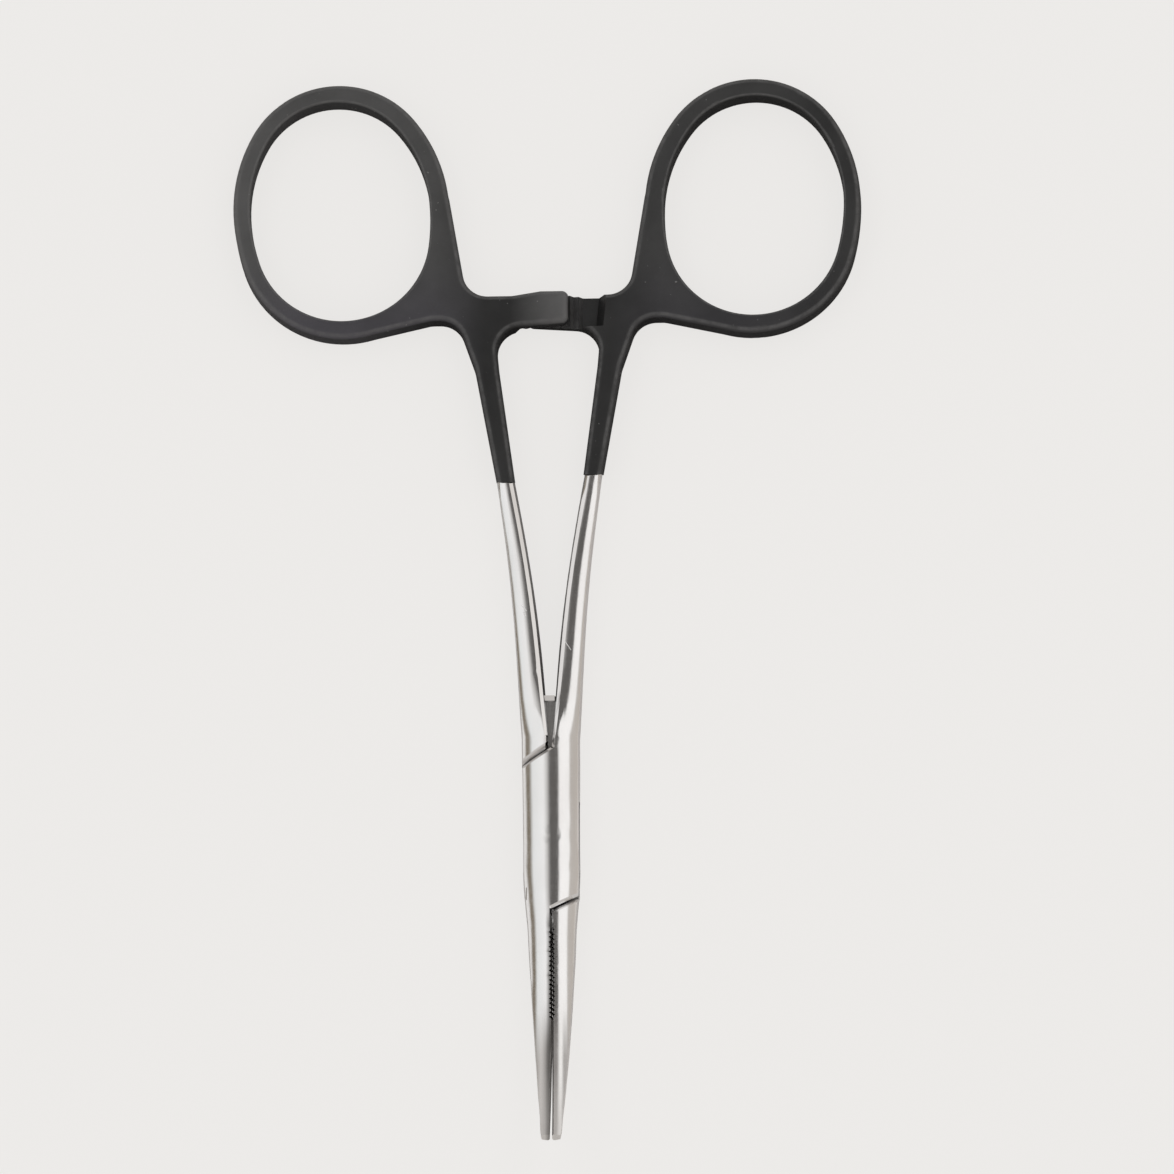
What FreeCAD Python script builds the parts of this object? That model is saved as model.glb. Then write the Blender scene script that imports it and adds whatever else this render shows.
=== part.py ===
import FreeCAD, Part
import math
import os

V = FreeCAD.Vector

# Curved ringed forceps with a box lock, in millimetres, +Z up.
# While it is built, the lock's pivot is the origin and z = 0 is the middle plane of the shanks.
# +Y runs from the pivot to the finger rings, -Y to the jaws, and the jaws curve up.
# The halves are named after the lock: the female half carries the box, the male half the tang.

# Finger rings (steel, under the coating)
RING_X = 23.25           # ring centre from the middle line
RING_Y = 72.85           # ring centre from the pivot
HOLE_HALF_LONG = 12.95   # half of the hole along its long axis
HOLE_HALF_WIDE = 10.33   # half of the hole across it
HOLE_TOP_R = 9.15        # radius at the end of the oval away from the lock
HOLE_LOW_R = 10.0        # radius at the end toward the lock
HOLE_SHIFT = 0.15        # how far the hole sits outward in the ring, so the inner side is wider
RING_BAND = 1.7          # width of the ring's band
FEMALE_RING_LEAN = 2.0   # degrees that the long axis leans outward
MALE_RING_LEAN = 5.0
HANDLE_HALF_T = 1.67     # half thickness of rings, arms and upper shanks
HANDLE_EDGE_R = 0.6      # rounding of their edges
HOLE_EDGE_R = 0.2        # rounding of the edges around the finger holes
COAT = 0.18              # thickness of the black coating
FEMALE_COAT_END_Y = 42.1 # where the coating stops on the shank
MALE_COAT_END_Y = 41.35
COAT_END_SLOPE = 12.0    # degrees by which that end leans, further down on the upper face

# Ratchet arms
ARM_TOP_Y = 62.6         # edge of the arm toward the rings
ARM_LOW_Y = 59.15        # edge of the arm toward the jaws, at its root
ARM_REACH = 2.15         # how far the arm passes the middle line
ARM_TAPER = 0.55         # how much the lower edge rises to the arm's end
ARM_PAD_LONG = 2.95      # length of the widened end
ARM_PAD_RISE = 3.2       # length over which it widens
ARM_PAD_WIDE = 0.5       # extra width of the widened end
ARM_CORNER_R = 0.55      # rounding of the corners at the end
BRIDGE_LOW_Y = 60.15     # lower edge of the bridge between shank and ring
BRIDGE_FOOT_X = 13.2     # where that edge turns down to run onto the ring
GUSSET_X = 9.3           # foot of the slanted edge between arm and ring
GUSSET_TOP = 11.5        # height of that edge above the arm
NECK_FLARE = 1.2         # how much the neck widens outward where it meets the arm
PLAN_FILLET = 3.0        # fillet in the corners between arm, shank and ring
RATCHET_GAP = 0.12       # running gap between the two rows of teeth
TOOTH_PITCH = 1.0
TOOTH_DEEP = 0.4
TOOTH_COUNT = 6
TOOTH_START = 3.9        # foot of the first tooth from the middle line
FEMALE_POCKET_ANGLE = 6.2 # direction of the step beside the arm, in degrees from +Y
MALE_POCKET_ANGLE = 4.0
POCKET_LOW_Y = 58.8      # lower edge of the stepped pocket
POCKET_LEAN = 22.0       # degrees by which the step's wall leans outward

# Shanks: the inner edge's distance from the middle line and the width, at four places and the neck
CROTCH_TOP_Y = 11.5
CROTCH_HALF_GAP = 0.28
SHANK_A_IN = 0.72
SHANK_A_WIDE = 2.96
SHANK_B_IN = 1.68
SHANK_B_WIDE = 2.62
SHANK_C_IN = 2.83
SHANK_C_WIDE = 2.29
SHANK_D_IN = 4.42
SHANK_D_WIDE = 1.88
NECK_IN = 5.75
NECK_WIDE = 2.35
SHANK_A_HALF_T = 1.82
SHANK_B_HALF_T = 1.76
SHANK_C_HALF_T = 1.71
RIM_SHARE = 0.64         # rim thickness of box and jaws against the thickness at their crest
RIM_BULGE = 0.12         # how far the rounded rims swell out, as a share of their half thickness
SHANK_A_RIM = 0.81       # the same share at the shanks' sections
SHANK_B_RIM = 0.845
SHANK_C_RIM = 0.875
SHANK_D_RIM = 0.9
INNER_BEVEL = 0.3        # bevel along the inner edges of shanks and box
INNER_SWELL = 0.36       # how far a shank's inner wall swells past its upper edge
CREST_AT = 0.41          # crest of the domed faces, as a share of the width from the inner side
# these places as shares of the way from the crotch to the ratchet arm
SHANK_A_AT = 0.146
SHANK_B_AT = 0.341
SHANK_C_AT = 0.502
SHANK_D_AT = 0.69
NECK_AT = 0.9

# Box lock
BOX_HALF_W = 3.22
BOX_HALF_T = 2.2
CROTCH_FLARE = 0.06      # extra half width at the crotch
BOX_TOP_LEFT_Y = 8.15    # upper edge of the box at its left side
BOX_TOP_MID_Y = 10.2     # the same edge at the middle line
BOX_LOW_RIGHT_Y = 6.8    # lower edge of the box at its right side, below the pivot
BOX_LOW_MID_Y = 8.45     # the same edge at the middle line, below the pivot
SHOULDER_BEVEL = 0.52    # bevel along the shoulders that face the box
LOCK_GAP = 0.12          # gap between the box edges and the other half's shoulders
TANG_HALF_T = 0.8
TANG_PLAY = 0.06         # gap between the tang and the two walls of the box
TANG_SIDE_GAP = 0.12     # how far the tang stays behind the sides of the box
SLOT_SIDE_Y = 4.0        # where the slot's closed edge meets the side of the box
SLOT_MID_Y = 9.0         # where that edge meets the middle line
PIN_R = 1.15
PIN_PLAY = 0.04

# Web of the tang in the crotch
WEB_TOP_Y = 16.4
WEB_BITE = 0.35          # how far the web reaches into the other shank
WEB_LIP_LONG = 0.55
WEB_LIP_HALF_T = 1.3      # at its upper edge
WEB_LIP_LOW_HALF_T = 1.05 # at its lower edge

# Jaws
BEND_START = 12.3        # distance from the pivot where the jaws begin to curve
BEND_R = 40.0            # radius of the curve
JAW_END = 37.9           # distance from the pivot to the tips, along the curve
JAW_ROOT_HALF_W = 2.7    # half width of the closed jaws at the start of the curve
JAW_TIP_HALF_W = 1.08
JAW_ROOT_HALF_T = 1.85
JAW_TIP_HALF_T = 0.45
JAW_GAP = 0.06           # gap between the closed jaws
RELIEF_GAP = 0.42        # wider gap between the lock and the serrations
RELIEF_END = 10.75       # where it ends, from the pivot
RELIEF_FLOOR = 0.7       # half thickness that it leaves in the middle
TIP_GAP = 0.32           # gap between the tips
TIP_GAP_START = 25.0     # where the smooth part of the jaws begins to part
SERRATION_START = 10.9
SERRATION_COUNT = 19
SERRATION_PITCH = 0.57
SERRATION_DEEP = 0.34
SEAM_BEVEL = 0.18        # bevel along the inner edges of the jaws

FAR = 60.0               # reach of the cutting blocks
SIDE_REACH = 1.6         # their reach beside the lock, against the box's half width
WEB_ROOT_X = 0.9         # where the web starts inside the male shank


def plane_face(points):
    return Part.Face(Part.makePolygon(points + [points[0]]))


def prism(points, z0, z1):
    face = plane_face([V(x, y, z0) for x, y in points])
    return face.extrude(V(0, 0, z1 - z0))


def half_oval(half_long, half_wide, end_r, up):
    # three tangent arcs from the right side over one end to the left side
    d = half_long - end_r
    b = half_wide - end_r
    e = (d * d - b * b) / (2 * b)
    side_r = half_wide + e
    k = math.hypot(d, e)
    tx = -e + side_r * e / k
    ty = side_r * d / k
    m = math.atan2(ty, tx + e) / 2
    mx = -e + side_r * math.cos(m)
    my = side_r * math.sin(m)
    right = Part.Arc(V(half_wide, 0, 0), V(mx, up * my, 0), V(tx, up * ty, 0)).toShape()
    end = Part.Arc(V(tx, up * ty, 0), V(0, up * half_long, 0), V(-tx, up * ty, 0)).toShape()
    left = Part.Arc(V(-tx, up * ty, 0), V(-mx, up * my, 0), V(-half_wide, 0, 0)).toShape()
    return [right, end, left]


def ring_face(grow, lean, shift):
    long, wide = HOLE_HALF_LONG + grow, HOLE_HALF_WIDE + grow
    edges = half_oval(long, wide, HOLE_TOP_R + grow, 1) + half_oval(long, wide, HOLE_LOW_R + grow, -1)
    wire = Part.Wire(Part.__sortEdges__(edges))
    wire.rotate(V(0, 0, 0), V(0, 0, 1), -lean)
    wire.translate(V(RING_X + shift, RING_Y, 0))
    return Part.Face(wire)


def shank_y(share):
    return CROTCH_TOP_Y + share * (ARM_LOW_Y - CROTCH_TOP_Y)


def neck_edges(y):
    # inner and outer edge of the neck between the last shank section and the arm
    run = (y - shank_y(SHANK_D_AT)) / (shank_y(NECK_AT) - shank_y(SHANK_D_AT))
    x_in = SHANK_D_IN + run * (NECK_IN - SHANK_D_IN)
    wide = SHANK_D_WIDE + run * (NECK_WIDE - SHANK_D_WIDE)
    return x_in, x_in + wide


def bridge_foot(lean):
    # slanted lower edge from the bridge to where it touches the ring's outer side
    drop = HOLE_HALF_LONG - HOLE_LOW_R
    turn = math.radians(lean)
    cx, cy = RING_X - drop * math.sin(turn), RING_Y - drop * math.cos(turn)
    r = 0.998 * (HOLE_LOW_R + RING_BAND)
    dx, dy = BRIDGE_FOOT_X - cx, BRIDGE_LOW_Y - cy
    way = math.atan2(dy, dx) + math.acos(r / math.hypot(dx, dy))
    return [(BRIDGE_FOOT_X, BRIDGE_LOW_Y), (cx + r * math.cos(way), cy + r * math.sin(way)),
            (cx, cy), (BRIDGE_FOOT_X, ARM_TOP_Y)]


def handle_plan(lean, low_y):
    # right handle seen from above, before the hole is cut
    pad_x = -ARM_REACH + ARM_PAD_LONG
    pad_y = ARM_TOP_Y + ARM_PAD_WIDE
    neck_y = shank_y(NECK_AT)
    neck_out = NECK_IN + NECK_WIDE
    arm = [(-ARM_REACH, ARM_LOW_Y + ARM_TAPER), (-ARM_REACH, pad_y), (pad_x, pad_y),
           (pad_x + ARM_PAD_RISE, ARM_TOP_Y), (RING_X, ARM_TOP_Y), (RING_X, BRIDGE_LOW_Y),
           (neck_out, BRIDGE_LOW_Y), (neck_out, ARM_LOW_Y), (NECK_IN, ARM_LOW_Y)]
    low_in, low_out = neck_edges(low_y)
    d_y = shank_y(SHANK_D_AT)
    d_in, d_out = neck_edges(d_y)
    top_in, top_out = neck_edges(ARM_TOP_Y - 1)
    neck = [(low_in, low_y), (d_in, d_y), (NECK_IN, neck_y), (top_in - 0.3, ARM_TOP_Y - 1),
            (top_out + NECK_FLARE, ARM_TOP_Y - 1), (neck_out, neck_y), (d_out, d_y),
            (low_out, low_y)]
    side_x = RING_X - HOLE_HALF_WIDE - RING_BAND
    gusset = [(GUSSET_X, ARM_TOP_Y), (side_x, ARM_TOP_Y + GUSSET_TOP),
              (RING_X, ARM_TOP_Y + GUSSET_TOP), (RING_X, BRIDGE_LOW_Y),
              (GUSSET_X, BRIDGE_LOW_Y)]
    slab = ring_face(RING_BAND, lean, 0).extrude(V(0, 0, 1))
    for outline in (arm, neck, gusset, bridge_foot(lean)):
        slab = slab.fuse(prism(outline, 0, 1))
    slab = slab.removeSplitter()
    low = [f for f in slab.Faces if abs(f.CenterOfMass.z) < 1e-6]
    plan = Part.Face(low[0].OuterWire)
    plan = plan.makeOffset2D(PLAN_FILLET).makeOffset2D(-PLAN_FILLET)
    plan = plan.makeOffset2D(-ARM_CORNER_R).makeOffset2D(ARM_CORNER_R)
    return plan.Faces[0]


def flat_edges(solid, height):
    return [e for e in solid.Edges
            if all(abs(abs(v.Z) - height) < 1e-6 for v in e.Vertexes)
            and abs(abs(e.CenterOfMass.z) - height) < 1e-6]


def on_face(face, edge):
    at = edge.Vertexes[0].Point
    return face.isInside(V(at.x, at.y, 0), 1e-3, True)


def ratchet_profile(grow):
    # pocket floor with its teeth, seen along +Y, as a polygon that reaches up out of the arm
    crest = -RATCHET_GAP / 2 - COAT + grow
    floor = crest - TOOTH_DEEP
    points = [(FAR, floor), (TOOTH_START, floor)]
    for k in range(TOOTH_COUNT):
        x = TOOTH_START - k * TOOTH_PITCH
        points.append((x - 0.4 * TOOTH_PITCH, crest))
        points.append((x - 0.5 * TOOTH_PITCH, crest))
        points.append((x - TOOTH_PITCH, floor))
    points += [(-FAR, floor), (-FAR, FAR), (FAR, FAR)]
    face = plane_face([V(x, POCKET_LOW_Y - grow, z) for x, z in points])
    return face.extrude(V(0, FAR, 0))


def pocket(grow, angle):
    # the room of the other half's arm: teeth below, a radial step with a leaning wall at the side
    lean = math.radians(POCKET_LEAN)
    side = Part.makeBox(2 * FAR, 4 * FAR, 2 * FAR, V(-2 * FAR, -2 * FAR, -FAR))
    side.rotate(V(0, 0, 0), V(0, 1, 0), POCKET_LEAN)
    side.translate(V(-HANDLE_HALF_T * math.tan(lean) - grow / math.cos(lean), 0, 0))
    side.rotate(V(0, 0, 0), V(0, 0, 1), -angle)
    low = POCKET_LOW_Y + grow
    keep = prism([(-FAR, low), (FAR, low), (FAR, low + FAR), (-FAR, low + FAR)], -FAR, FAR)
    return ratchet_profile(grow).common(keep).common(side)


def handle(grow, start_y, lean, slope, angle):
    half_t = HANDLE_HALF_T + grow
    plan = handle_plan(lean, start_y - 3)
    if grow > 0:
        plan = plan.makeOffset2D(grow).Faces[0]
    plan = plan.cut(ring_face(-grow, lean, HOLE_SHIFT))
    slab = plan.extrude(V(0, 0, 2 * half_t))
    slab.translate(V(0, 0, -half_t))
    slab = slab.Solids[0]
    near_hole = ring_face(RING_BAND / 2, lean, 0)
    for inner, radius in ((False, HANDLE_EDGE_R), (True, HOLE_EDGE_R)):
        edges = [e for e in flat_edges(slab, half_t) if on_face(near_hole, e) == inner]
        slab = slab.makeFillet(radius + grow, edges)
    slab = slab.cut(pocket(grow, angle))
    trim = Part.makeBox(2 * FAR, FAR, 2 * FAR, V(-FAR, start_y - FAR, -FAR))
    trim.rotate(V(0, start_y, 0), V(1, 0, 0), slope)
    return slab.cut(trim).Solids[0]


def arc_height(x, apex, half_t, rim_x, rim_t):
    # height of the domed face above the middle plane at x
    drop = half_t - rim_t
    reach = rim_x - apex
    r = (reach * reach + drop * drop) / (2 * drop)
    return half_t - r + math.sqrt(r * r - (x - apex) ** 2)


def lens_wire(half_w, half_t):
    # whole section of box or closed jaws in the XZ plane
    rim_t = half_t * RIM_SHARE
    bulge = RIM_BULGE * rim_t
    rim_x = half_w - bulge
    top = Part.Arc(V(-rim_x, 0, rim_t), V(0, 0, half_t), V(rim_x, 0, rim_t)).toShape()
    right = Part.Arc(V(rim_x, 0, rim_t), V(half_w, 0, 0), V(rim_x, 0, -rim_t)).toShape()
    low = Part.Arc(V(rim_x, 0, -rim_t), V(0, 0, -half_t), V(-rim_x, 0, -rim_t)).toShape()
    left = Part.Arc(V(-rim_x, 0, -rim_t), V(-half_w, 0, 0), V(-rim_x, 0, rim_t)).toShape()
    return Part.Wire([top, right, low, left])


def shank_wire(y, x_in, wide, half_t, apex, rim_share, swell):
    # half section of one shank: swelling inner wall, rounded rim, and faces that are flat
    # up to the apex and domed past it
    edge = x_in + swell
    split = x_in + CREST_AT * wide
    x_out = x_in + wide
    rim_t = half_t * rim_share
    rim_x = x_out - RIM_BULGE * rim_t

    def at(x):
        return V(x, y, arc_height(x, apex, half_t, rim_x, rim_t) if x > apex else half_t)

    def low(point):
        return V(point.x, y, -point.z)

    top = [at(edge), at((edge + split) / 2), at(split), at((split + rim_x) / 2), V(rim_x, y, rim_t)]
    under = [low(point) for point in top]
    if edge <= apex:
        faces = Part.LineSegment(top[0], top[2]), Part.LineSegment(under[2], under[0])
    else:
        faces = Part.Arc(top[0], top[1], top[2]), Part.Arc(under[2], under[1], under[0])
    edges = [Part.Arc(under[0], V(x_in, y, 0), top[0]), faces[0], Part.Arc(top[2], top[3], top[4]),
             Part.Arc(top[4], V(x_out, y, 0), under[4]), Part.Arc(under[4], under[3], under[2]), faces[1]]
    return Part.Wire([e.toShape() for e in edges])


def right_shank():
    # the first section matches the box, whose crest is on the middle line
    wires = [shank_wire(CROTCH_TOP_Y, CROTCH_HALF_GAP, BOX_HALF_W + CROTCH_FLARE - CROTCH_HALF_GAP,
                        BOX_HALF_T, 0, RIM_SHARE, 0.1 * INNER_SWELL)]
    for share, x_in, wide, half_t, rim in (
            (SHANK_A_AT, SHANK_A_IN, SHANK_A_WIDE, SHANK_A_HALF_T, SHANK_A_RIM),
            (SHANK_B_AT, SHANK_B_IN, SHANK_B_WIDE, SHANK_B_HALF_T, SHANK_B_RIM),
            (SHANK_C_AT, SHANK_C_IN, SHANK_C_WIDE, SHANK_C_HALF_T, SHANK_C_RIM),
            (SHANK_D_AT, SHANK_D_IN, SHANK_D_WIDE, HANDLE_HALF_T, SHANK_D_RIM)):
        apex = x_in + CREST_AT * wide
        wires.append(shank_wire(shank_y(share), x_in, wide, half_t, apex, rim, INNER_SWELL))
    return Part.makeLoft(wires, True, False, False, 5)


def bend_frame(s):
    # place and tilt of the middle line at distance s from the pivot toward the tips
    if s <= BEND_START:
        return V(0, -s, 0), 0.0
    a = (s - BEND_START) / BEND_R
    y = -BEND_START - BEND_R * math.sin(a)
    return V(0, y, BEND_R * (1 - math.cos(a))), a


def placed(shape, s):
    at, a = bend_frame(s)
    moved = shape.copy()
    moved.rotate(V(0, 0, 0), V(1, 0, 0), -math.degrees(a))
    moved.translate(at)
    return moved


def smooth(t):
    t = max(0.0, min(1.0, t))
    return t * t * (3 - 2 * t)


def lens_size(s):
    # half width and half thickness of box and closed jaws at distance s from the pivot
    t = max(0.0, (s - BEND_START) / (JAW_END - BEND_START))
    ease = 0.85 * t + 0.15 * t * t
    jaw_w = JAW_ROOT_HALF_W + (JAW_TIP_HALF_W - JAW_ROOT_HALF_W) * ease
    jaw_t = JAW_ROOT_HALF_T + (JAW_TIP_HALF_T - JAW_ROOT_HALF_T) * (1.15 * t - 0.15 * t * t)
    box_start = BOX_LOW_RIGHT_Y * 0.6
    mix = smooth((s - box_start) / (BEND_START - box_start))
    flare = CROTCH_FLARE * smooth(-s / CROTCH_TOP_Y)
    half_w = BOX_HALF_W + flare + (jaw_w - BOX_HALF_W) * mix
    return half_w, BOX_HALF_T + (jaw_t - BOX_HALF_T) * mix


def lock_and_jaws():
    # outer form of the box and both closed jaws, through evenly spaced sections
    # it starts well above the crotch, where the plans of both halves cut it off
    count = 22
    start = -2 * CROTCH_TOP_Y
    wires = []
    for k in range(count + 1):
        s = start + (JAW_END - start) * k / count
        wires.append(placed(lens_wire(*lens_size(s)), s))
    return Part.makeLoft(wires, True, False, False, 3)


def seam_points():
    # inner face of the right jaw in plan, from the lock to past the tip
    tip = bend_frame(JAW_END)[0].y - 3
    start = bend_frame(TIP_GAP_START)[0].y
    return [(JAW_GAP / 2, start), (TIP_GAP / 2, tip)]


def box_edges():
    # slopes of the box's upper and lower edge in plan
    rise = (BOX_TOP_MID_Y - BOX_TOP_LEFT_Y) / BOX_HALF_W
    fall = (BOX_LOW_MID_Y - BOX_LOW_RIGHT_Y) / BOX_HALF_W
    return rise, fall


def female_plan():
    rise, fall = box_edges()
    out = SIDE_REACH * BOX_HALF_W
    seam = [(-x, y) for x, y in seam_points()]
    return prism([(CROTCH_HALF_GAP, CROTCH_TOP_Y), (CROTCH_HALF_GAP * 0.6, BOX_TOP_MID_Y),
                  (-out, BOX_TOP_MID_Y - out * rise), (-out, seam[1][1]), seam[1], seam[0],
                  (-JAW_GAP / 2, -BOX_LOW_MID_Y), (out, -BOX_LOW_MID_Y + out * fall),
                  (out, CROTCH_TOP_Y)], -FAR, FAR)


def male_plans():
    # shoulder of the left shank, and the right jaw with its shoulder
    rise, fall = box_edges()
    out = SIDE_REACH * BOX_HALF_W
    up = BOX_TOP_MID_Y + LOCK_GAP * math.hypot(1, rise)
    down = -BOX_LOW_MID_Y - LOCK_GAP * math.hypot(1, fall)
    inner = JAW_GAP / 2
    seam = seam_points()
    shank = prism([(-CROTCH_HALF_GAP, CROTCH_TOP_Y), (-out, CROTCH_TOP_Y), (-out, up - out * rise),
                   (-CROTCH_HALF_GAP, up - CROTCH_HALF_GAP * rise)], -FAR, FAR)
    jaw = prism([(inner, down + inner * fall), (out, down + out * fall), (out, seam[1][1]),
                 seam[1], seam[0]], -FAR, FAR)
    return shank, jaw


def relief():
    # grooves along the seam between the lock and the serrations, on the top and the underside
    x = RELIEF_GAP / 2
    plan = [(-x, -BOX_LOW_MID_Y), (-x, -RELIEF_END + x), (0, -RELIEF_END), (x, -RELIEF_END + x),
            (x, -BOX_LOW_MID_Y)]
    return prism(plan, RELIEF_FLOOR, FAR).fuse(prism(plan, -FAR, -RELIEF_FLOOR))


def root_edge(gap):
    # closed edge of the slot along the root of the right shank, and the web's edge above it
    # each point is moved by gap toward the tang
    top_x = CROTCH_HALF_GAP + WEB_BITE
    slope = (SHANK_A_IN - CROTCH_HALF_GAP) / (shank_y(SHANK_A_AT) - CROTCH_TOP_Y)
    web_x = top_x + slope * (WEB_TOP_Y - CROTCH_TOP_Y)
    fall = (SLOT_MID_Y - SLOT_SIDE_Y) / (BOX_HALF_W - top_x)
    down = gap * math.hypot(1, fall)
    return [(BOX_HALF_W, SLOT_SIDE_Y - down), (top_x - gap, SLOT_MID_Y - down + gap * fall),
            (web_x - gap, WEB_TOP_Y - gap)]


def slot():
    out = SIDE_REACH * BOX_HALF_W
    side, top, web = root_edge(0)
    half = TANG_HALF_T + TANG_PLAY
    low = -SLOT_MID_Y - 1
    return prism([(out, side[1]), side, top, web, (-out, web[1]), (-out, -side[1]),
                  (-side[0], -side[1]), (-JAW_GAP / 2, -SLOT_MID_Y), (-JAW_GAP / 2, low), (out, low)],
                 -half, half)


def tang():
    reach = BOX_HALF_W - TANG_SIDE_GAP
    side, top, web = root_edge(LOCK_GAP)
    inner = JAW_GAP / 2
    low = -SLOT_MID_Y - 1
    fall = (top[1] - side[1]) / (side[0] - top[0])
    side_y = top[1] - fall * (reach - top[0])
    plan = [(reach, -BOX_LOW_RIGHT_Y), (reach, side_y), top, web, (-WEB_ROOT_X, web[1]),
            (-reach, CROTCH_TOP_Y - 2), (-reach, -side_y), (inner, -SLOT_MID_Y + LOCK_GAP),
            (inner, low), (JAW_ROOT_HALF_W * 0.9, low)]
    return prism(plan, -TANG_HALF_T, TANG_HALF_T)


def web_lip():
    # raised edge of the web, its faces sloping toward the lock
    web_y = root_edge(LOCK_GAP)[2][1]
    slope = (SHANK_A_IN - CROTCH_HALF_GAP) / (shank_y(SHANK_A_AT) - CROTCH_TOP_Y)
    wall = CROTCH_HALF_GAP + slope * (web_y - WEB_LIP_LONG - CROTCH_TOP_Y)
    profile = [(web_y, WEB_LIP_HALF_T), (web_y - WEB_LIP_LONG, WEB_LIP_LOW_HALF_T),
               (web_y - WEB_LIP_LONG, -WEB_LIP_LOW_HALF_T), (web_y, -WEB_LIP_HALF_T)]
    face = plane_face([V(-WEB_ROOT_X, y, z) for y, z in profile])
    return face.extrude(V(WEB_ROOT_X + wall - LOCK_GAP / 2, 0, 0))


def serration(first, side):
    # V grooves across the inner face of one jaw; side is +1 for the right jaw
    half_open = 0.42 * SERRATION_PITCH
    reach = JAW_ROOT_HALF_T + 1
    cuts = []
    for k in range(SERRATION_COUNT):
        s = SERRATION_START + (first + k) * SERRATION_PITCH
        groove = prism([(0, -half_open), (side * JAW_GAP / 2, -half_open),
                        (side * (JAW_GAP / 2 + SERRATION_DEEP), 0),
                        (side * JAW_GAP / 2, half_open), (0, half_open)], -reach, reach)
        cuts.append(placed(groove, s))
    return Part.makeCompound(cuts)


def lock_edges(solid):
    # long edges of the lock's upright flat faces, on the top and the underside, as two lists:
    # along the crotch and the seam, and along the slanted edges of box and shoulders
    along, across = [], []
    for face in solid.Faces:
        if type(face.Surface).__name__ != "Plane":
            continue
        normal = face.normalAt(0, 0)
        at = face.CenterOfMass
        if abs(normal.z) < 1e-6 and abs(normal.y) < 0.999 and at.y > -SLOT_MID_Y:
            found = along if abs(normal.x) > 0.95 else across
            found += [e for e in face.Edges if abs(e.CenterOfMass.z) > RIM_SHARE * BOX_HALF_T * 0.9]
    return along, across


def seam_edges(solid):
    # long edges of the jaws' inner faces, on the top and the underside
    found = []
    for face in solid.Faces:
        if type(face.Surface).__name__ == "Plane" and face.CenterOfMass.y < -SLOT_MID_Y:
            if abs(face.normalAt(0, 0).x) > 0.99:
                found += [e for e in face.Edges if e.Length > (JAW_END - BEND_START) / 3]
    return found


def inner_shank_edges(solid):
    # the two long edges of the shank's inner wall
    walls = [f for f in solid.Faces if abs(f.CenterOfMass.z) < 0.01 and f.BoundBox.YLength > FAR / 3]
    wall = min(walls, key=lambda f: f.CenterOfMass.x)
    return [e for e in wall.Edges if abs(e.CenterOfMass.z) > HANDLE_HALF_T * 0.7]


def turned(shape):
    # the left handle and shank are the right ones turned over about the middle line
    other = shape.copy()
    other.rotate(V(0, 0, 0), V(0, 1, 0), 180)
    return other


def one_solid(shape):
    shape = shape.removeSplitter()
    return shape.Solids[0] if len(shape.Solids) == 1 else shape


def build():
    envelope = lock_and_jaws()
    shank = right_shank()
    shank = shank.makeChamfer(INNER_BEVEL, inner_shank_edges(shank))
    plate_y = shank_y(SHANK_D_AT)
    right_plate = handle(0, plate_y, FEMALE_RING_LEAN, 0, FEMALE_POCKET_ANGLE)
    left_plate = turned(handle(0, plate_y, MALE_RING_LEAN, 0, MALE_POCKET_ANGLE))
    right_grip = handle(COAT, FEMALE_COAT_END_Y, FEMALE_RING_LEAN, COAT_END_SLOPE, FEMALE_POCKET_ANGLE)
    left_grip = turned(handle(COAT, MALE_COAT_END_Y, MALE_RING_LEAN, -COAT_END_SLOPE, MALE_POCKET_ANGLE))

    pin_hole = Part.makeCylinder(PIN_R, 2 * BOX_HALF_T + 2, V(0, 0, -BOX_HALF_T - 1))
    tang_hole = Part.makeCylinder(PIN_R + PIN_PLAY, 2 * BOX_HALF_T + 2, V(0, 0, -BOX_HALF_T - 1))

    box = envelope.common(female_plan()).Solids[0]
    box = box.makeChamfer(INNER_BEVEL, sum(lock_edges(box), []))
    box = box.makeChamfer(SEAM_BEVEL, seam_edges(box)).cut(relief())
    female = box.fuse(shank).fuse(right_plate)
    female = female.cut(slot()).cut(pin_hole).cut(serration(0.5, -1))

    shoulder, jaw = [envelope.common(plan).Solids[0] for plan in male_plans()]
    shoulder = shoulder.makeChamfer(SHOULDER_BEVEL, lock_edges(shoulder)[1])
    shoulder = shoulder.makeChamfer(INNER_BEVEL, lock_edges(shoulder)[0])
    jaw = jaw.makeChamfer(SHOULDER_BEVEL, lock_edges(jaw)[1])
    jaw = jaw.makeChamfer(SEAM_BEVEL, seam_edges(jaw)).cut(relief()).cut(serration(0, 1))
    inside = shoulder.fuse(turned(shank)).fuse(left_plate)
    male = inside.fuse(jaw).fuse(tang()).fuse(web_lip()).cut(tang_hole)

    pin = pin_hole.common(envelope)
    return {
        "female_half": one_solid(female),
        "male_half": one_solid(male),
        "lock_pin": one_solid(pin),
        "female_grip_coating": one_solid(right_grip.cut(female)),
        "male_grip_coating": one_solid(left_grip.cut(male)),
    }


def main():
    pieces = build()
    box = FreeCAD.BoundBox()
    for piece in pieces.values():
        box.add(piece.optimalBoundingBox(False))
    shift = V(-(box.XMin + box.XMax) / 2, -(box.YMin + box.YMax) / 2, -box.ZMin)
    os.makedirs("parts", exist_ok=True)
    for name, piece in pieces.items():
        piece.translate(shift)
        piece.exportStep("parts/" + name + ".step")
        print(name, piece.ShapeType, piece.isValid(), round(piece.Volume, 3))
    print("pivot at", round(shift.x, 4), round(shift.y, 4), round(shift.z, 4))
    print("size", round(box.XLength, 3), round(box.YLength, 3), round(box.ZLength, 3))


main()
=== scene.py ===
import bpy
import math
import numpy as np
from mathutils import Matrix, Vector
from mathutils.kdtree import KDTree

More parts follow.
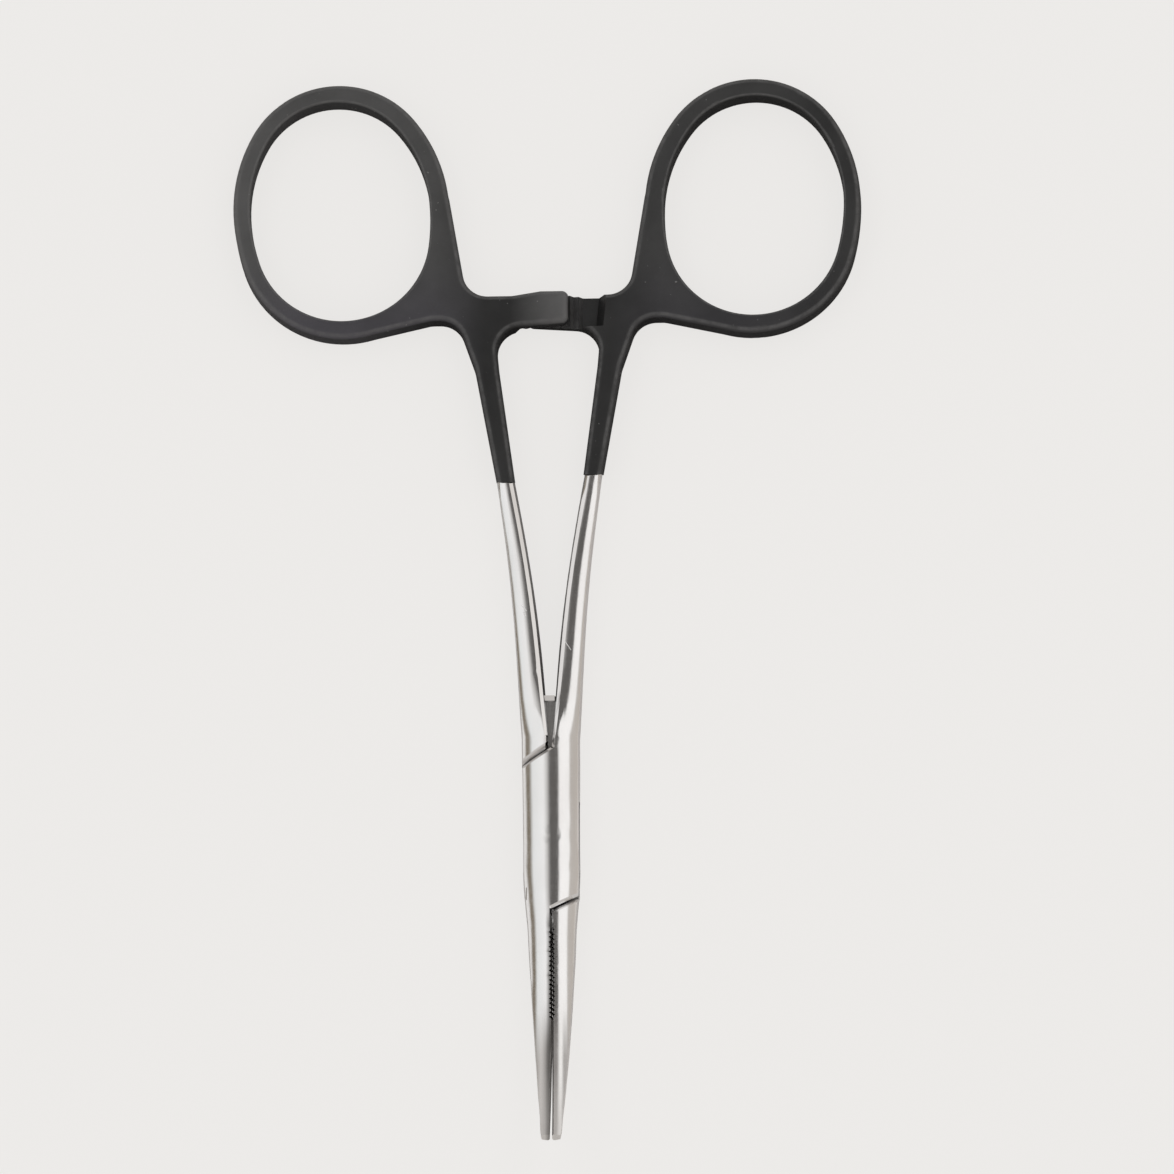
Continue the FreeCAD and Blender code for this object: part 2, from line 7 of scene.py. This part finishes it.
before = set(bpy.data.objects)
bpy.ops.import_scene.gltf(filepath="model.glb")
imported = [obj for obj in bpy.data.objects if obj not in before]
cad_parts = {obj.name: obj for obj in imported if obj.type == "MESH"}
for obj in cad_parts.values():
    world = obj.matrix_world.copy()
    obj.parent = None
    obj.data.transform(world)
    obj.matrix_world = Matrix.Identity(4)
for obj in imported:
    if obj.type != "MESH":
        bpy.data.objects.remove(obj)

scene = bpy.context.scene
scene.view_settings.view_transform = "Standard"
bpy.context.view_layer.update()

# Camera: above the instrument, tipped toward the jaws and a little to the right
TILT = math.radians(14.0)
SIDE = math.radians(2.0)
ROLL = math.radians(0.9)
PIXELS = 1174                # side of the photograph's frame
SCALE = 8.9                  # pixels a millimetre in that frame
PIVOT = Vector((0.0000088, -0.0256151, 0.0022075))
PIVOT_PX = (551.6, 838.8)    # where the pivot lies in that frame
DISTANCE = 3.0
SENSOR = 36.0                # width in millimetres


def add_camera():
    level = Vector((math.cos(SIDE), math.sin(TILT) * math.sin(SIDE), -math.cos(TILT) * math.sin(SIDE)))
    upright = Vector((0.0, math.cos(TILT), math.sin(TILT)))
    right = math.cos(ROLL) * level - math.sin(ROLL) * upright
    up = math.sin(ROLL) * level + math.cos(ROLL) * upright
    back = right.cross(up)
    pixel = 0.001 / SCALE
    across = (PIXELS / 2 - PIVOT_PX[0]) * pixel
    above = (PIVOT_PX[1] - PIXELS / 2) * pixel
    data = bpy.data.cameras.new("camera")
    data.sensor_width = SENSOR
    data.lens = SENSOR * DISTANCE / (PIXELS * pixel)
    data.clip_start = 0.01
    data.clip_end = 20.0
    camera = bpy.data.objects.new("camera", data)
    scene.collection.objects.link(camera)
    matrix = Matrix((right, up, back)).transposed().to_4x4()
    matrix.translation = PIVOT + right * across + up * above + back * DISTANCE
    camera.matrix_world = matrix
    scene.camera = camera


add_camera()

RISE = (0.0, 1.0)
FALL = (1.0, 0.0)
NOISE_ROUGHNESS = 0.55
STROKE_FADE = 0.00004        # soft edge of a scratch or stain, in metres


class Nodes:
    """Short calls that add nodes to one tree. All but add and feed return an output socket."""

    def __init__(self, tree):
        self.tree = tree

    def feed(self, value, socket):
        """Links another node's output to a socket, or sets the socket's value."""
        if isinstance(value, bpy.types.NodeSocket):
            self.tree.links.new(value, socket)
        else:
            socket.default_value = value

    def add(self, kind, values=None, **settings):
        """Adds a node and returns it; the values go to its input sockets, by name or number."""
        node = self.tree.nodes.new("ShaderNode" + kind)
        for key, value in settings.items():
            setattr(node, key, value)
        for key, value in (values or {}).items():
            self.feed(value, node.inputs[key])
        return node

    def noise(self, waves, detail):
        """Soft noise with so many waves a metre along x, y and z."""
        position = self.add("TexCoord").outputs["Object"]
        place = self.add("Mapping", {"Vector": position, "Scale": waves}).outputs[0]
        return self.add("TexNoise", {"Vector": place, "Scale": 1.0, "Detail": detail,
                                     "Roughness": NOISE_ROUGHNESS}).outputs["Fac"]

    def math(self, operation, a, b=0.0):
        return self.add("Math", {0: a, 1: b}, operation=operation).outputs[0]

    def product(self, a, b):
        return self.math("MULTIPLY", a, b)

    def spread(self, value, limits, to=RISE):
        """Carries a value from its two limits to the two numbers of to, and holds it there beyond them."""
        return self.add("MapRange", {"Value": value, "From Min": limits[0], "From Max": limits[1],
                                     "To Min": to[0], "To Max": to[1]}, clamp=True).outputs[0]

    def mix(self, share, first, second):
        """The first colour where the share is 0, and the second where it is 1."""
        # a Mix node has sockets for each type of data: 6 and 7 take the colours and 2 gives the result
        return self.add("Mix", {0: share, 6: first, 7: second}, data_type="RGBA").outputs[2]

    def ramp(self, value, bands):
        """The colour at a value's place in a row of bands, each a place and its colour."""
        node = self.add("ValToRGB", {"Fac": value})
        stops = node.color_ramp.elements
        ready = len(stops)
        for i, (place, colour) in enumerate(bands):
            stop = stops[i] if i < ready else stops.new(place)
            stop.position = place
            stop.color = colour
        return node.outputs["Color"]

    def stroke(self, start, end, half_width):
        """A mask that is 1 on the line from start to end (metres, seen from above) and fades beside it."""
        position = self.add("TexCoord").outputs["Object"]
        flat = self.add("VectorMath", {0: position, 1: (1, 1, 0)}, operation="MULTIPLY").outputs[0]
        a, b = Vector((*start, 0)), Vector((*end, 0))
        along = (b - a).normalized()
        offset = self.add("VectorMath", {0: flat, 1: a}, operation="SUBTRACT").outputs[0]
        run = self.add("VectorMath", {0: offset, 1: along}, operation="DOT_PRODUCT").outputs["Value"]
        run = self.math("MINIMUM", self.math("MAXIMUM", run, 0.0), (b - a).length)
        foot = self.add("VectorMath", {0: along, "Scale": run}, operation="SCALE").outputs[0]
        gap = self.add("VectorMath", {0: offset, 1: foot}, operation="DISTANCE").outputs["Value"]
        return self.spread(gap, (half_width, half_width + STROKE_FADE), FALL)


def new_material(name):
    mat = bpy.data.materials.new(name)
    mat.use_nodes = True
    tree = mat.node_tree
    return mat, Nodes(tree), tree.nodes["Principled BSDF"]


# Noise: waves a metre along x, y and z, and levels of detail
STEEL_CLOUD = ((220, 90, 220), 4.0)
STEEL_GRAIN = ((9000, 420, 9000), 3.0)
STEEL_BELT = ((300, 6500, 300), 2.0)
COAT_CLOUD = ((160, 160, 160), 4.0)
COAT_GRIT = ((5200, 5200, 5200), 2.0)
COAT_FLECKS = ((2300, 2300, 2300), 1.0)
COAT_EDGE = ((900, 900, 900), 3.0)
MIDDLE = (0.3, 0.7)                  # where most of a noise lies

# Steel: tones, and where painted shade darkens them
STEEL_TONES = ((0.72, 0.705, 0.695, 1), (0.78, 0.77, 0.765, 1))
# painted shade, on the walls that face the middle plane and beside the jaws' seam
STEEL_SHADE_TONE = (0.2, 0.195, 0.19, 1)
WALL_SHADE_FACING = (0.8, 0.9)           # how squarely a wall faces the middle plane, no painted shade to full painted shade
# painted shade in narrow gaps and grooves
CREVICE_SHADE_TONE = (0.012, 0.011, 0.011, 1)
CREVICE_REACH = 0.0006               # how near another wall must be to darken a point, in metres
CREVICE_OPENNESS = (0.12, 0.62)      # the open share of what a point faces, dark to clear
CREVICE_RAYS = 8
# the left jaw's inner edge from the serrations to the tip, in metres, where painted shade lies beside the
# jaws' seam
SEAM_RISE_X = (-0.00068, -0.00026)
SEAM_STOP_X = (0.0, 0.00002)
SEAM_START_Y = (-0.0362, -0.0345)
SEAM_SHADE_SHARE = 0.75

# Steel: roughness and height
GRAIN_ROUGHNESS = (0.07, 0.13)
BELT_MARKS = (0.35, 0.75)
BELT_ROUGHNESS = (0.0, 0.05)
# more roughness on the walls that face the middle plane, where the painted shade lies
INWARD_WALL_ROUGHNESS = 0.2
MARK_ROUGHNESS = 0.3
GRAIN_HEIGHT = 0.5
BELT_HEIGHT = 0.35
STEEL_BUMP = {"Strength": 0.12, "Distance": 0.00001}


def openness(n):
    """1 in the open, down to 0 in narrow gaps and grooves."""
    faced = n.add("AmbientOcclusion", {"Distance": CREVICE_REACH}, samples=CREVICE_RAYS).outputs["AO"]
    return n.spread(faced, CREVICE_OPENNESS)


def seam_shade_strip(n, place):
    """The share of painted shade along the left jaw's inner edge, beside the jaws' seam."""
    across = n.product(n.spread(place["X"], SEAM_RISE_X), n.spread(place["X"], SEAM_STOP_X, FALL))
    along = n.spread(place["Y"], SEAM_START_Y, FALL)
    return n.product(n.product(across, along), SEAM_SHADE_SHARE)


def steel(name, marks):
    """Satin polished steel, rougher and darkened by painted shade on the walls that face the middle plane,
    with painted shade in its crevices and beside the jaws' seam.
    """
    mat, n, bsdf = new_material(name)
    coord = n.add("TexCoord").outputs
    place = n.add("SeparateXYZ", {0: coord["Object"]}).outputs
    facing = n.add("SeparateXYZ", {0: coord["Normal"]}).outputs["X"]
    inward = n.product(n.product(n.math("SIGN", place["X"]), -1.0), facing)
    inward_shade = n.spread(inward, WALL_SHADE_FACING)
    cloud = n.noise(*STEEL_CLOUD)
    grain = n.noise(*STEEL_GRAIN)
    belt = n.noise(*STEEL_BELT)
    tone = n.mix(n.spread(cloud, MIDDLE), *STEEL_TONES)
    # painted shade on the walls that face the middle plane
    tone = n.mix(inward_shade, tone, STEEL_SHADE_TONE)
    # painted shade in gaps and grooves, from ambient occlusion
    tone = n.mix(openness(n), CREVICE_SHADE_TONE, tone)
    # painted shade beside the jaws' seam
    tone = n.mix(seam_shade_strip(n, place), tone, STEEL_SHADE_TONE)
    rough = n.spread(grain, MIDDLE, GRAIN_ROUGHNESS)
    rough = n.math("ADD", rough, n.spread(belt, BELT_MARKS, BELT_ROUGHNESS))
    rough = n.math("ADD", rough, n.product(inward_shade, INWARD_WALL_ROUGHNESS))
    height = n.math("ADD", n.product(grain, GRAIN_HEIGHT), n.product(belt, BELT_HEIGHT))
    for start, end, half_width, colour in marks:
        mark = n.stroke(start, end, half_width)
        tone = n.mix(mark, tone, colour)
        rough = n.math("ADD", rough, n.product(mark, MARK_ROUGHNESS))
        height = n.math("SUBTRACT", height, mark)
    bsdf.inputs["Metallic"].default_value = 1.0
    n.feed(tone, bsdf.inputs["Base Color"])
    n.feed(rough, bsdf.inputs["Roughness"])
    n.feed(n.add("Bump", {"Height": height, **STEEL_BUMP}).outputs[0], bsdf.inputs["Normal"])
    return mat


# Coating: tones, and where the greyer ones lie, in metres. The arm and ring greys are painted light,
# stronger on the left
BLACK_TONES = ((0.012, 0.012, 0.0125, 1), (0.026, 0.026, 0.0265, 1))
ARM_LIT_GREY = (0.088, 0.084, 0.1, 1)
RING_LIT_GREY = (0.108, 0.108, 0.109, 1)
ARM_TO_RING_Y = (0.034, 0.042)
PAINTED_LIGHT_OUT = (0.007, 0.013)          # distance from the middle plane, no painted light to painted light
PAINTED_LIGHT_CLOUD = (0.25, 0.75)
PAINTED_LIGHT_SHARE = (0.62, 1.0)
# painted light that falls off from the left to the right
LEFT_TO_RIGHT_X = (-0.038, 0.038)
LIGHT_FROM_LEFT_SHARE = (1.0, 0.05)
ARM_END_GREY = (0.16, 0.16, 0.162, 1)
ARM_END_X = (-0.0042, 0.0021)
ARM_END_Y = (0.032, 0.034)
ARM_END_CLOUD = (0.25, 0.7)
ARM_END_SHARE = (0.6, 1.0)
FLECK_GREY = (0.3, 0.3, 0.3, 1)
FLECK_LIMITS = (0.77, 0.8)
FLECK_SHARE = (0.0, 0.5)

# Coating: painted highlight on the edges and painted shade on the walls, by how level the surface is (0 on
# a wall, 1 on a flat)
EDGE_RISE = (0.5, 0.75)
EDGE_FALL = (0.9, 0.98)
EDGE_CLOUD = (0.3, 0.65)
EDGE_CLOUD_SHARE = (0.35, 1.0)
EDGE_HIGHLIGHT_GREY = (0.15, 0.15, 0.152, 1)
EDGE_HIGHLIGHT_SHARE = 0.55
WALL_LEVEL = (0.1, 0.5)
WALL_SHADE_TONES = ((0.005, 0.005, 0.0055, 1), (0.035, 0.035, 0.037, 1))
WALL_OUT = (0.012, 0.02)             # distance from the middle plane, darker to lighter painted shade on the walls
WALL_SHADE_SHARE = 0.85
FLAT_TO_WALL_GLOSS = (0.35, 0.02)
GRIT_ROUGHNESS = (0.42, 0.56)
COAT_BUMP = {"Strength": 0.3, "Distance": 0.00002}


def coating(name, worn_end):
    """Matt black coating, greyed by painted light towards the left and out on the rings, with a painted
    highlight along its edges, painted shade on its walls, and a rubbed grey at the worn arm end.
    """
    mat, n, bsdf = new_material(name)
    coord = n.add("TexCoord").outputs
    place = n.add("SeparateXYZ", {0: coord["Object"]}).outputs
    level = n.math("ABSOLUTE", n.add("SeparateXYZ", {0: coord["Normal"]}).outputs["Z"])
    outward = n.math("ABSOLUTE", place["X"])
    # painted light, strongest on the left
    light_from_left = n.spread(place["X"], LEFT_TO_RIGHT_X, LIGHT_FROM_LEFT_SHARE)
    cloud = n.noise(*COAT_CLOUD)
    grit = n.noise(*COAT_GRIT)
    fleck = n.noise(*COAT_FLECKS)
    base = n.mix(n.spread(cloud, MIDDLE), *BLACK_TONES)

    # painted light: greyer towards the left and out on the rings, mottled by the cloud
    painted_left_light = n.product(n.spread(outward, PAINTED_LIGHT_OUT), light_from_left)
    painted_left_light = n.product(painted_left_light, n.spread(cloud, PAINTED_LIGHT_CLOUD, PAINTED_LIGHT_SHARE))
    lit_grey = n.mix(n.spread(place["Y"], ARM_TO_RING_Y), ARM_LIT_GREY, RING_LIT_GREY)
    base = n.mix(painted_left_light, base, lit_grey)
    if worn_end:
        worn = n.product(n.spread(place["X"], ARM_END_X), n.spread(place["Y"], ARM_END_Y))
        worn = n.product(worn, n.spread(cloud, ARM_END_CLOUD, ARM_END_SHARE))
        base = n.mix(worn, base, ARM_END_GREY)

    wall = n.spread(level, WALL_LEVEL, FALL)
    wall_shade_tone = n.mix(n.product(light_from_left, n.spread(outward, WALL_OUT)), *WALL_SHADE_TONES)
    # painted shade on the walls, lighter towards the left and out
    base = n.mix(n.product(wall, WALL_SHADE_SHARE), base, wall_shade_tone)
    # painted highlight on the rounded edges, broken up by a cloud
    edge_highlight = n.product(n.spread(level, EDGE_RISE), n.spread(level, EDGE_FALL, FALL))
    edge_highlight = n.product(edge_highlight, n.spread(n.noise(*COAT_EDGE), EDGE_CLOUD, EDGE_CLOUD_SHARE))
    base = n.mix(n.product(edge_highlight, EDGE_HIGHLIGHT_SHARE), base, EDGE_HIGHLIGHT_GREY)
    base = n.mix(n.spread(fleck, FLECK_LIMITS, FLECK_SHARE), base, FLECK_GREY)

    n.feed(base, bsdf.inputs["Base Color"])
    n.feed(n.spread(wall, RISE, FLAT_TO_WALL_GLOSS), bsdf.inputs["Specular IOR Level"])
    n.feed(n.spread(grit, MIDDLE, GRIT_ROUGHNESS), bsdf.inputs["Roughness"])
    n.feed(n.add("Bump", {"Height": grit, **COAT_BUMP}).outputs[0], bsdf.inputs["Normal"])
    return mat


# Fitted normals: a patch is longer along y, the way that the shanks and jaws run
FIT_REACH = 0.0007           # metres across at which a point's weight is down to about a third
FIT_STRETCH = 4.0            # how many times longer the patch is along y
FIT_POINTS = 26
FIT_SEARCHED = 3 * FIT_POINTS
FIT_LEAST_POINTS = 9
SAME_FACE = 0.94             # least cosine between the normals of two points of one smooth face
OFF_PLANE = 0.3              # most that a point may lie off the tangent plane, as a share of its distance
OFF_PLANE_SLACK = 0.000002   # and so many metres more
NEARLY_Y = 0.9               # a normal with more of y than this needs another axis across it
LEAST_COSINE = 0.96          # between a fitted normal and the mesh's own
# beside the serrations the fit rests on a few points in line, so it may move the normal less there
BESIDE_LEAST_COSINE = 0.9975
BESIDE_X = (-0.0006, 0.0001)
BESIDE_Y = (-0.0475, -0.035)
TINY = 1e-9


def patch_normal(normal, away):
    """The normal of a curved patch fitted to points at away from a vertex, or None if they don't fix it."""
    if len(away) < FIT_LEAST_POINTS:
        return None
    across = np.cross(normal, (0.0, 1.0, 0.0) if abs(normal[1]) < NEARLY_Y else (1.0, 0.0, 0.0))
    across /= np.linalg.norm(across)
    along = np.cross(normal, across)
    u = away @ across / FIT_REACH
    v = away @ along / (FIT_REACH * FIT_STRETCH)
    height = away @ normal
    weight = np.exp(-(u * u + v * v))
    terms = np.stack([np.ones_like(u), u, v, u * u, u * v, v * v], 1) * weight[:, None]
    fit, _, rank, _ = np.linalg.lstsq(terms, height * weight, rcond=1e-6)
    if rank < terms.shape[1]:
        return None
    better = normal - across * fit[1] / FIT_REACH - along * fit[2] / (FIT_REACH * FIT_STRETCH)
    return better / np.linalg.norm(better)


def fitted_normals(mesh):
    """Vertex normals from a curved patch fitted to the vertices around each one.

    The mesh's own normals are averages of uneven facets, which makes reflections in polished steel wave.
    """
    count = len(mesh.vertices)
    co = np.zeros(count * 3)
    mesh.vertices.foreach_get("co", co)
    co = co.reshape(-1, 3)
    corner = np.zeros(len(mesh.loops) * 3)
    mesh.corner_normals.foreach_get("vector", corner)
    owner = np.zeros(len(mesh.loops), np.int32)
    mesh.loops.foreach_get("vertex_index", owner)
    start = np.zeros((count, 3))
    np.add.at(start, owner, corner.reshape(-1, 3))
    start /= np.maximum(np.linalg.norm(start, axis=1), TINY)[:, None]
    fine = start.copy()
    place = co * np.array([1.0, 1.0 / FIT_STRETCH, 1.0])
    tree = KDTree(count)
    for i, point in enumerate(place):
        tree.insert(point, i)
    tree.balance()
    for i in range(count):
        near_by = [j for _, j, _ in tree.find_n(place[i], FIT_SEARCHED)]
        near_by = np.array([j for j in near_by if start[i] @ start[j] > SAME_FACE])
        away = co[near_by] - co[i]
        most_off = OFF_PLANE * np.linalg.norm(away, axis=1) + OFF_PLANE_SLACK
        better = patch_normal(start[i], away[np.abs(away @ start[i]) < most_off][:FIT_POINTS])
        if better is None:
            continue
        beside = BESIDE_X[0] < co[i][0] < BESIDE_X[1] and BESIDE_Y[0] < co[i][1] < BESIDE_Y[1]
        if better @ start[i] > (BESIDE_LEAST_COSINE if beside else LEAST_COSINE):
            fine[i] = better
    return fine


def polish(node):
    """Shades a steel node by fitted normals, through a modifier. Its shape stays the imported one."""
    mesh = node.data.copy()
    mesh.name = node.name + "_shading"
    mesh.normals_split_custom_set_from_vertices([tuple(normal) for normal in fitted_normals(mesh)])
    helper = bpy.data.objects.new(node.name + "_shading", mesh)
    mod = node.modifiers.new("fine_normals", "DATA_TRANSFER")
    mod.object = helper
    mod.use_loop_data = True
    mod.data_types_loops = {"CUSTOM_NORMAL"}
    mod.loop_mapping = "TOPOLOGY"


PALE = (0.9, 0.89, 0.88, 1)
STAIN = (0.35, 0.33, 0.31, 1)
# scratches and a stain: start and end in metres, seen from above, half width and colour
FEMALE_MARKS = (((0.00161, -0.00306), (0.00237, -0.0042), 0.00003, PALE),
                ((-0.00279, -0.0316), (-0.00282, -0.0329), 0.00004, STAIN))
MALE_MARKS = (((-0.00312, 0.0011), (-0.00262, 0.0004), 0.00003, PALE),
              ((-0.00285, 0.0002), (-0.0027, -0.0002), 0.00004, PALE))
LOOKS = {"female_half": steel("female_steel", FEMALE_MARKS),
         "male_half": steel("male_steel", MALE_MARKS),
         "lock_pin": steel("pin_steel", ()),
         "female_grip_coating": coating("female_coating", False),
         "male_grip_coating": coating("male_coating", True)}
for name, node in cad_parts.items():
    node.data.materials.clear()
    node.data.materials.append(LOOKS[name])
for name in ("female_half", "male_half"):
    polish(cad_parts[name])

# Studio surround: a band's place is 0 at the left horizon and 1 at the right
SIDE_BANDS = ((0.0, (0.80, 0.79, 0.78, 1)), (0.10, (0.85, 0.84, 0.83, 1)), (0.115, (0.21, 0.18, 0.14, 1)),
              (0.15, (0.21, 0.18, 0.14, 1)), (0.19, (0.86, 0.88, 0.88, 1)), (0.36, (0.95, 0.95, 0.95, 1)),
              (0.42, (0.6, 0.59, 0.58, 1)), (0.47, (0.125, 0.12, 0.115, 1)),
              (0.605, (0.12, 0.115, 0.11, 1)), (0.63, (1, 0.99, 0.98, 1)), (0.78, (1, 0.99, 0.98, 1)),
              (0.80, (0.52, 0.49, 0.46, 1)), (0.89, (0.52, 0.48, 0.44, 1)), (0.94, (0.9, 0.88, 0.86, 1)))
# the same for directions that lean toward the rings, which the raised jaws reflect
FAR_BANDS = ((0.0, (0.4, 0.385, 0.37, 1)), (0.16, (0.3, 0.28, 0.255, 1)), (0.21, (0.5, 0.48, 0.46, 1)),
             (0.25, (0.63, 0.61, 0.59, 1)), (0.29, (0.55, 0.53, 0.515, 1)), (0.38, (0.23, 0.22, 0.21, 1)),
             (0.46, (0.24, 0.23, 0.22, 1)), (0.6, (0.3, 0.285, 0.275, 1)), (0.65, (0.96, 0.95, 0.93, 1)),
             (0.69, (0.96, 0.95, 0.93, 1)), (0.73, (0.43, 0.415, 0.4, 1)), (0.84, (0.45, 0.43, 0.415, 1)),
             (0.95, (0.8, 0.79, 0.77, 1)))
# by a direction's y: the far bands come in, and plain grey lies toward the jaws and past the rings
FAR_Y = (0.45, 0.68)
PLAIN_NEAR_Y = (-0.35, -0.15)
PLAIN_END_Y = (0.78, 0.95)
PLAIN_END_SHARE = (0.0, 0.6)
PLAIN = (0.58, 0.56, 0.54, 1)
LIGHT_STRENGTH = 1.15
SEEN_STRENGTH = 1.0
BACKDROP = (0.847, 0.831, 0.815, 1)


def add_world():
    world = bpy.data.worlds.new("world")
    scene.world = world
    world.use_nodes = True
    n = Nodes(world.node_tree)
    background = world.node_tree.nodes["Background"]
    direction = n.add("SeparateXYZ", {0: n.add("TexCoord").outputs["Generated"]}).outputs
    sideways = n.spread(direction["X"], (-1.0, 1.0))
    far = n.spread(direction["Y"], FAR_Y)
    near = n.spread(direction["Y"], PLAIN_NEAR_Y, FALL)
    end = n.spread(direction["Y"], PLAIN_END_Y, PLAIN_END_SHARE)
    banded = n.mix(far, n.ramp(sideways, SIDE_BANDS), n.ramp(sideways, FAR_BANDS))
    banded = n.mix(n.math("MAXIMUM", near, end), banded, PLAIN)
    seen = n.add("LightPath").outputs["Is Camera Ray"]
    n.feed(n.mix(seen, banded, BACKDROP), background.inputs["Color"])
    strength = n.math("ADD", LIGHT_STRENGTH, n.product(seen, SEEN_STRENGTH - LIGHT_STRENGTH))
    n.feed(strength, background.inputs["Strength"])


FLOOR_HALF = 3.0
FLOOR_Z = -0.00002
FLOOR_COLOUR = (0.9, 0.885, 0.87, 1)
FLOOR_GLOW = (0.883, 0.8695, 0.8537, 1)
FLOOR_GLOW_SHARE = 0.85      # of what the camera sees; the rest keeps the shadow


def add_floor():
    """A pale floor that looks like the backdrop and still takes the shadow."""
    mesh = bpy.data.meshes.new("floor")
    corners = ((-1, -1), (1, -1), (1, 1), (-1, 1))
    mesh.from_pydata([(x * FLOOR_HALF, y * FLOOR_HALF, FLOOR_Z) for x, y in corners], [], [(0, 1, 2, 3)])
    floor = bpy.data.objects.new("floor", mesh)
    scene.collection.objects.link(floor)
    mat, n, bsdf = new_material("floor")
    bsdf.inputs["Base Color"].default_value = FLOOR_COLOUR
    bsdf.inputs["Roughness"].default_value = 1.0
    bsdf.inputs["Specular IOR Level"].default_value = 0.0
    glow = n.add("Emission", {"Color": FLOOR_GLOW}).outputs[0]
    seen = n.product(n.add("LightPath").outputs["Is Camera Ray"], FLOOR_GLOW_SHARE)
    mixed = n.add("MixShader", {0: seen, 1: bsdf.outputs[0], 2: glow}).outputs[0]
    n.feed(mixed, n.tree.nodes["Material Output"].inputs["Surface"])
    mesh.materials.append(mat)


add_world()
add_floor()
